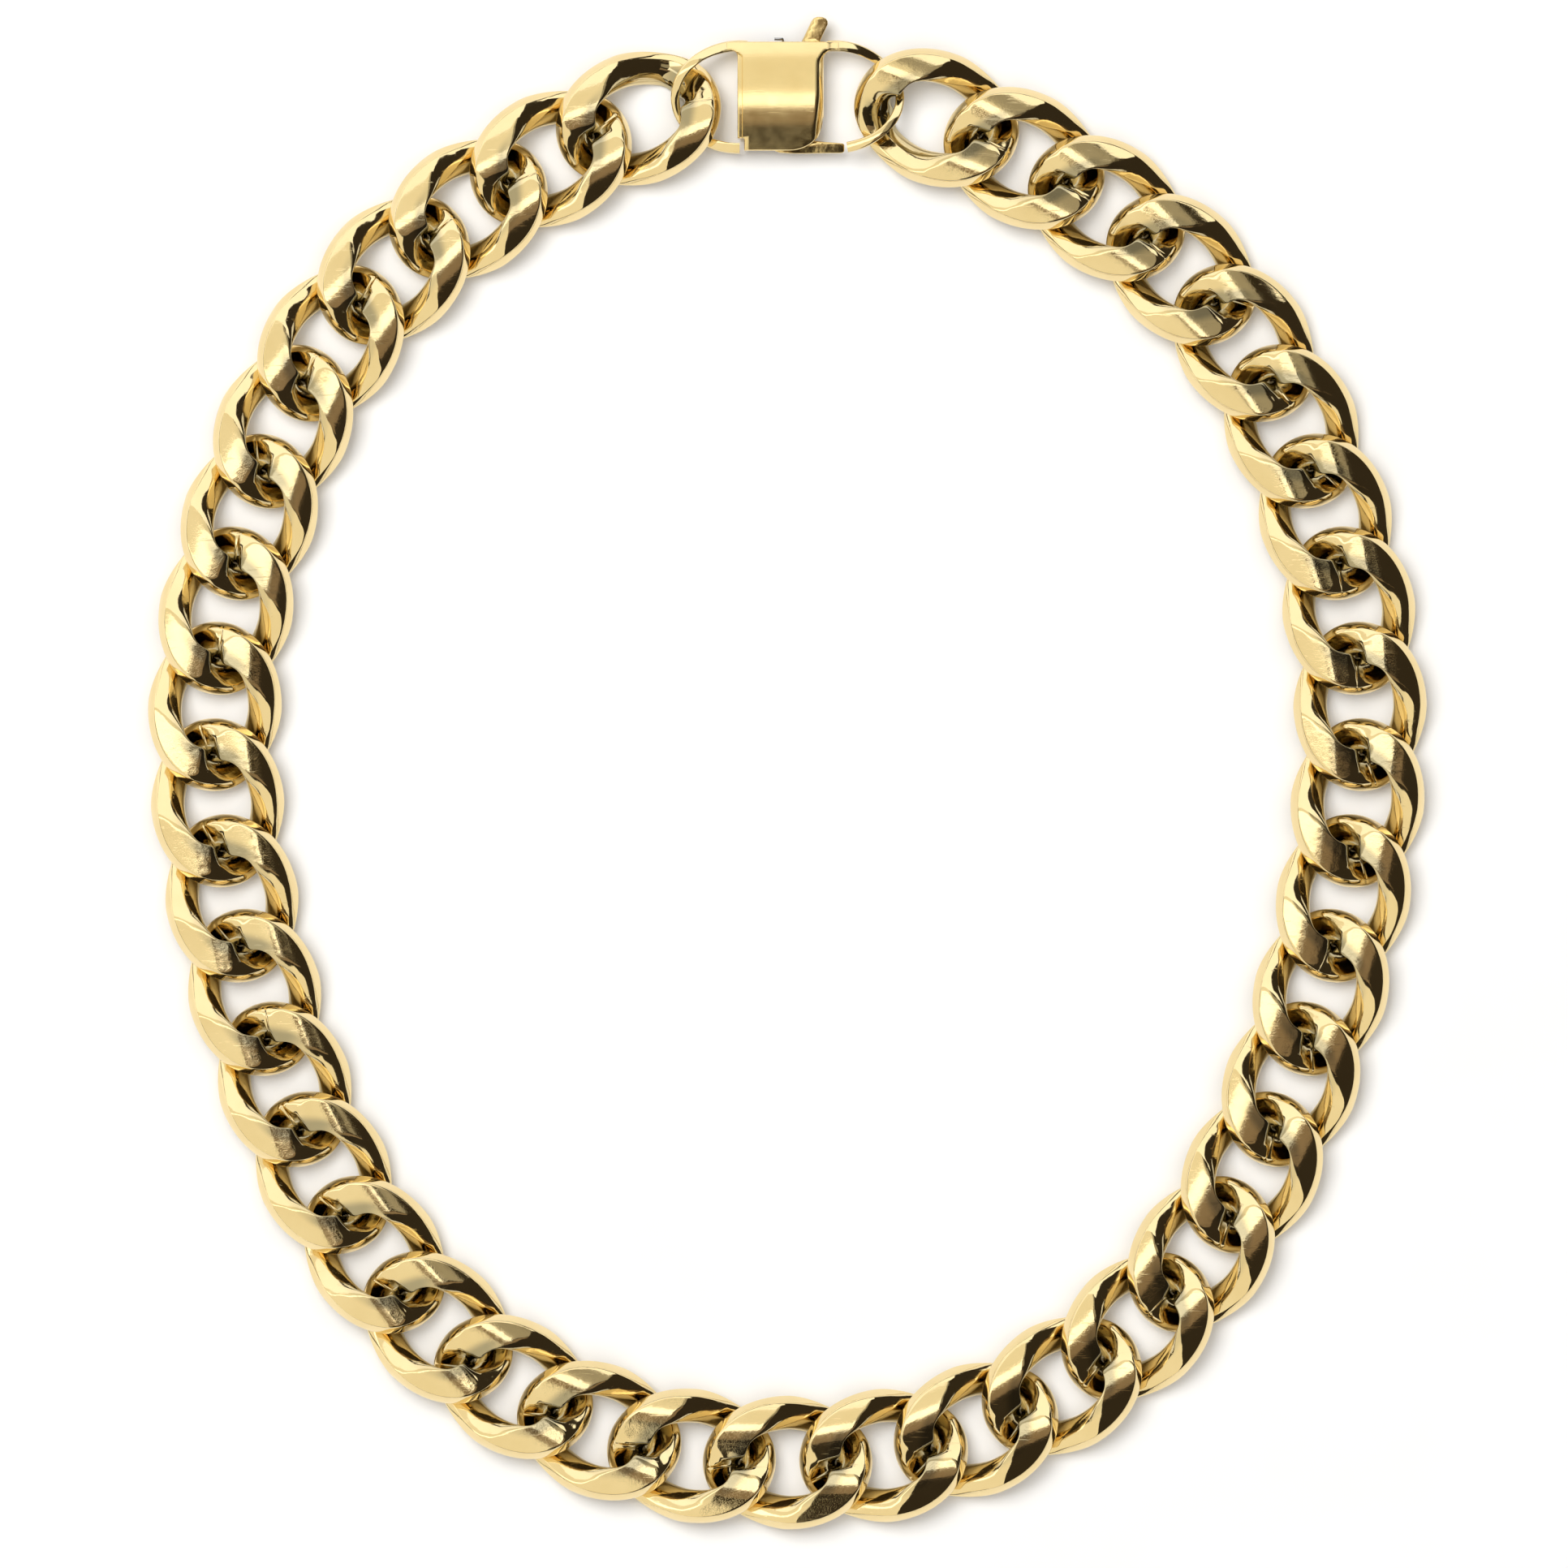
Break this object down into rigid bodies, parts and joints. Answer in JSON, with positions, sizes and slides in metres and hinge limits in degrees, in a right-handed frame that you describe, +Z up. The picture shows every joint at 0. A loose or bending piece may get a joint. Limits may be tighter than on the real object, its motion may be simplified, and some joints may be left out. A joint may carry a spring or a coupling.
{
  "type": "chain necklace",
  "caption": "Heavy curb-link chain necklace, lying flat and closed by a double-loop lobster clasp with a sprung lever.",
  "frame": {"origin": "middle of the necklace's bounding box in X and Y, on the surface it lies on", "axes": "+X to the right with the clasp at the far side, +Y from the bottom link towards the clasp, +Z up out of the surface"},
  "size_m": [0.1462, 0.173, 0.0051],
  "materials": {
    "polished_gold": "mirror polished gold plate",
    "satin_gold": "brushed satin gold plate",
    "cast_gold": "fine cast gold plate",
    "spring_steel": "bright spring wire"
  },
  "bodies": {
    "link_20": {"link_20": "polished_gold"},
    "link_19": {"link_19": "polished_gold"},
    "link_21": {"link_21": "polished_gold"},
    "link_18": {"link_18": "polished_gold"},
    "link_22": {"link_22": "polished_gold"},
    "link_17": {"link_17": "polished_gold"},
    "link_23": {"link_23": "polished_gold"},
    "link_16": {"link_16": "polished_gold"},
    "link_24": {"link_24": "polished_gold"},
    "link_15": {"link_15": "polished_gold"},
    "link_25": {"link_25": "polished_gold"},
    "link_14": {"link_14": "polished_gold"},
    "link_26": {"link_26": "polished_gold"},
    "link_13": {"link_13": "polished_gold"},
    "link_27": {"link_27": "polished_gold"},
    "link_12": {"link_12": "polished_gold"},
    "link_28": {"link_28": "polished_gold"},
    "link_11": {"link_11": "polished_gold"},
    "link_29": {"link_29": "polished_gold"},
    "link_10": {"link_10": "polished_gold"},
    "link_30": {"link_30": "polished_gold"},
    "link_09": {"link_09": "polished_gold"},
    "link_31": {"link_31": "polished_gold"},
    "link_08": {"link_08": "polished_gold"},
    "link_32": {"link_32": "polished_gold"},
    "link_07": {"link_07": "polished_gold"},
    "link_33": {"link_33": "polished_gold"},
    "link_06": {"link_06": "polished_gold"},
    "link_34": {"link_34": "polished_gold"},
    "link_05": {"link_05": "polished_gold"},
    "link_35": {"link_35": "polished_gold"},
    "link_04": {"link_04": "polished_gold"},
    "link_36": {"link_36": "polished_gold"},
    "link_03": {"link_03": "polished_gold"},
    "link_37": {"link_37": "polished_gold"},
    "link_02": {"link_02": "polished_gold"},
    "link_38": {"link_38": "polished_gold"},
    "link_01": {"link_01": "polished_gold"},
    "link_39": {"link_39": "polished_gold"},
    "clasp": {"clasp_front": "satin_gold", "clasp_back": "satin_gold", "clasp_rivet": "cast_gold", "clasp_spring": "spring_steel"},
    "lever": {"clasp_lever": "cast_gold"}
  },
  "joints": [
    {"name": "fold_19", "type": "hinge", "parent": "link_20", "child": "link_19", "pos_m": [-0.00553, -0.07891, 0.00255], "axis": [1, 0, 0], "range_deg": [-16, 16]},
    {"name": "fold_21", "type": "hinge", "parent": "link_20", "child": "link_21", "pos_m": [0.00553, -0.07891, 0.00255], "axis": [1, 0, 0], "range_deg": [-16, 16]},
    {"name": "fold_18", "type": "hinge", "parent": "link_19", "child": "link_18", "pos_m": [-0.01645, -0.07733, 0.00255], "axis": [1, 0, 0], "range_deg": [-14, 14]},
    {"name": "fold_22", "type": "hinge", "parent": "link_21", "child": "link_22", "pos_m": [0.01645, -0.07733, 0.00255], "axis": [1, 0, 0], "range_deg": [-14, 14]},
    {"name": "fold_17", "type": "hinge", "parent": "link_18", "child": "link_17", "pos_m": [-0.02667, -0.07309, 0.00255], "axis": [1, 0, 0], "range_deg": [-16, 16]},
    {"name": "fold_23", "type": "hinge", "parent": "link_22", "child": "link_23", "pos_m": [0.02667, -0.07309, 0.00255], "axis": [1, 0, 0], "range_deg": [-16, 16]},
    {"name": "fold_16", "type": "hinge", "parent": "link_17", "child": "link_16", "pos_m": [-0.03606, -0.06726, 0.00255], "axis": [1, 0, 0], "range_deg": [-16, 16]},
    {"name": "fold_24", "type": "hinge", "parent": "link_23", "child": "link_24", "pos_m": [0.03606, -0.06726, 0.00255], "axis": [1, 0, 0], "range_deg": [-16, 16]},
    {"name": "fold_15", "type": "hinge", "parent": "link_16", "child": "link_15", "pos_m": [-0.04398, -0.05956, 0.00255], "axis": [1, 0, 0], "range_deg": [-16, 16]},
    {"name": "fold_25", "type": "hinge", "parent": "link_24", "child": "link_25", "pos_m": [0.04398, -0.05956, 0.00255], "axis": [1, 0, 0], "range_deg": [-16, 16]},
    {"name": "fold_14", "type": "hinge", "parent": "link_15", "child": "link_14", "pos_m": [-0.05054, -0.05065, 0.00255], "axis": [1, 0, 0], "range_deg": [-18, 18]},
    {"name": "fold_26", "type": "hinge", "parent": "link_25", "child": "link_26", "pos_m": [0.05054, -0.05065, 0.00255], "axis": [1, 0, 0], "range_deg": [-18, 18]},
    {"name": "fold_13", "type": "hinge", "parent": "link_14", "child": "link_13", "pos_m": [-0.05562, -0.04083, 0.00255], "axis": [1, 0, 0], "range_deg": [-18, 18]},
    {"name": "fold_27", "type": "hinge", "parent": "link_26", "child": "link_27", "pos_m": [0.05562, -0.04083, 0.00255], "axis": [1, 0, 0], "range_deg": [-18, 18]},
    {"name": "fold_12", "type": "hinge", "parent": "link_13", "child": "link_12", "pos_m": [-0.05946, -0.03045, 0.00255], "axis": [1, 0, 0], "range_deg": [-18, 18]},
    {"name": "fold_28", "type": "hinge", "parent": "link_27", "child": "link_28", "pos_m": [0.05946, -0.03045, 0.00255], "axis": [1, 0, 0], "range_deg": [-18, 18]},
    {"name": "fold_11", "type": "hinge", "parent": "link_12", "child": "link_11", "pos_m": [-0.06248, -0.01981, 0.00255], "axis": [1, 0, 0], "range_deg": [-18, 18]},
    {"name": "fold_29", "type": "hinge", "parent": "link_28", "child": "link_29", "pos_m": [0.06248, -0.01981, 0.00255], "axis": [1, 0, 0], "range_deg": [-18, 18]},
    {"name": "fold_10", "type": "hinge", "parent": "link_11", "child": "link_10", "pos_m": [-0.06464, -0.00895, 0.00255], "axis": [1, 0, 0], "range_deg": [-18, 18]},
    {"name": "fold_30", "type": "hinge", "parent": "link_29", "child": "link_30", "pos_m": [0.06464, -0.00895, 0.00255], "axis": [1, 0, 0], "range_deg": [-18, 18]},
    {"name": "fold_09", "type": "hinge", "parent": "link_10", "child": "link_09", "pos_m": [-0.06573, 0.00205, 0.00255], "axis": [1, 0, 0], "range_deg": [-18, 18]},
    {"name": "fold_31", "type": "hinge", "parent": "link_30", "child": "link_31", "pos_m": [0.06573, 0.00205, 0.00255], "axis": [1, 0, 0], "range_deg": [-18, 18]},
    {"name": "fold_08", "type": "hinge", "parent": "link_09", "child": "link_08", "pos_m": [-0.06525, 0.01311, 0.00255], "axis": [1, 0, 0], "range_deg": [-18, 18]},
    {"name": "fold_32", "type": "hinge", "parent": "link_31", "child": "link_32", "pos_m": [0.06525, 0.01311, 0.00255], "axis": [1, 0, 0], "range_deg": [-18, 18]},
    {"name": "fold_07", "type": "hinge", "parent": "link_08", "child": "link_07", "pos_m": [-0.06318, 0.02397, 0.00255], "axis": [1, 0, 0], "range_deg": [-18, 18]},
    {"name": "fold_33", "type": "hinge", "parent": "link_32", "child": "link_33", "pos_m": [0.06318, 0.02397, 0.00255], "axis": [1, 0, 0], "range_deg": [-18, 18]},
    {"name": "fold_06", "type": "hinge", "parent": "link_07", "child": "link_06", "pos_m": [-0.05989, 0.03453, 0.00255], "axis": [1, 0, 0], "range_deg": [-18, 18]},
    {"name": "fold_34", "type": "hinge", "parent": "link_33", "child": "link_34", "pos_m": [0.05989, 0.03453, 0.00255], "axis": [1, 0, 0], "range_deg": [-18, 18]},
    {"name": "fold_05", "type": "hinge", "parent": "link_06", "child": "link_05", "pos_m": [-0.05543, 0.04465, 0.00255], "axis": [1, 0, 0], "range_deg": [-16, 16]},
    {"name": "fold_35", "type": "hinge", "parent": "link_34", "child": "link_35", "pos_m": [0.05543, 0.04465, 0.00255], "axis": [1, 0, 0], "range_deg": [-16, 16]},
    {"name": "fold_04", "type": "hinge", "parent": "link_05", "child": "link_04", "pos_m": [-0.04896, 0.05361, 0.00255], "axis": [1, 0, 0], "range_deg": [-16, 16]},
    {"name": "fold_36", "type": "hinge", "parent": "link_35", "child": "link_36", "pos_m": [0.04896, 0.05361, 0.00255], "axis": [1, 0, 0], "range_deg": [-16, 16]},
    {"name": "fold_03", "type": "hinge", "parent": "link_04", "child": "link_03", "pos_m": [-0.04107, 0.06136, 0.00255], "axis": [1, 0, 0], "range_deg": [-16, 16]},
    {"name": "fold_37", "type": "hinge", "parent": "link_36", "child": "link_37", "pos_m": [0.04107, 0.06136, 0.00255], "axis": [1, 0, 0], "range_deg": [-16, 16]},
    {"name": "fold_02", "type": "hinge", "parent": "link_03", "child": "link_02", "pos_m": [-0.03194, 0.0676, 0.00255], "axis": [1, 0, 0], "range_deg": [-16, 16]},
    {"name": "fold_38", "type": "hinge", "parent": "link_37", "child": "link_38", "pos_m": [0.03194, 0.0676, 0.00255], "axis": [1, 0, 0], "range_deg": [-16, 16]},
    {"name": "fold_01", "type": "hinge", "parent": "link_02", "child": "link_01", "pos_m": [-0.0222, 0.07285, 0.00255], "axis": [1, 0, 0], "range_deg": [-16, 16]},
    {"name": "fold_39", "type": "hinge", "parent": "link_38", "child": "link_39", "pos_m": [0.0222, 0.07285, 0.00255], "axis": [1, 0, 0], "range_deg": [-16, 16]},
    {"name": "clasp_swing", "type": "hinge", "parent": "link_01", "child": "clasp", "pos_m": [-0.0119, 0.07685, 0.00255], "axis": [1, 0, 0], "range_deg": [-12, 12]},
    {"name": "lever_press", "type": "hinge", "parent": "clasp", "child": "lever", "pos_m": [-0.0009, 0.07245, 0.00255], "axis": [0, 0, 1], "range_deg": [0, 25], "stiffness_Nm_per_rad": 0.01, "springref_deg": -11.46, "deforming": ["clasp_spring"]}
  ],
  "couplings": [
    {"joint": "fold_21", "follows": "fold_19", "ratio": 1},
    {"joint": "fold_22", "follows": "fold_18", "ratio": 1},
    {"joint": "fold_23", "follows": "fold_17", "ratio": 1},
    {"joint": "fold_24", "follows": "fold_16", "ratio": 1},
    {"joint": "fold_25", "follows": "fold_15", "ratio": 1},
    {"joint": "fold_26", "follows": "fold_14", "ratio": 1},
    {"joint": "fold_27", "follows": "fold_13", "ratio": 1},
    {"joint": "fold_28", "follows": "fold_12", "ratio": 1},
    {"joint": "fold_29", "follows": "fold_11", "ratio": 1},
    {"joint": "fold_30", "follows": "fold_10", "ratio": 1},
    {"joint": "fold_31", "follows": "fold_09", "ratio": 1},
    {"joint": "fold_32", "follows": "fold_08", "ratio": 1},
    {"joint": "fold_33", "follows": "fold_07", "ratio": 1},
    {"joint": "fold_34", "follows": "fold_06", "ratio": 1},
    {"joint": "fold_35", "follows": "fold_05", "ratio": 1},
    {"joint": "fold_36", "follows": "fold_04", "ratio": 1},
    {"joint": "fold_37", "follows": "fold_03", "ratio": 1},
    {"joint": "fold_38", "follows": "fold_02", "ratio": 1},
    {"joint": "fold_39", "follows": "fold_01", "ratio": 1}
  ]
}
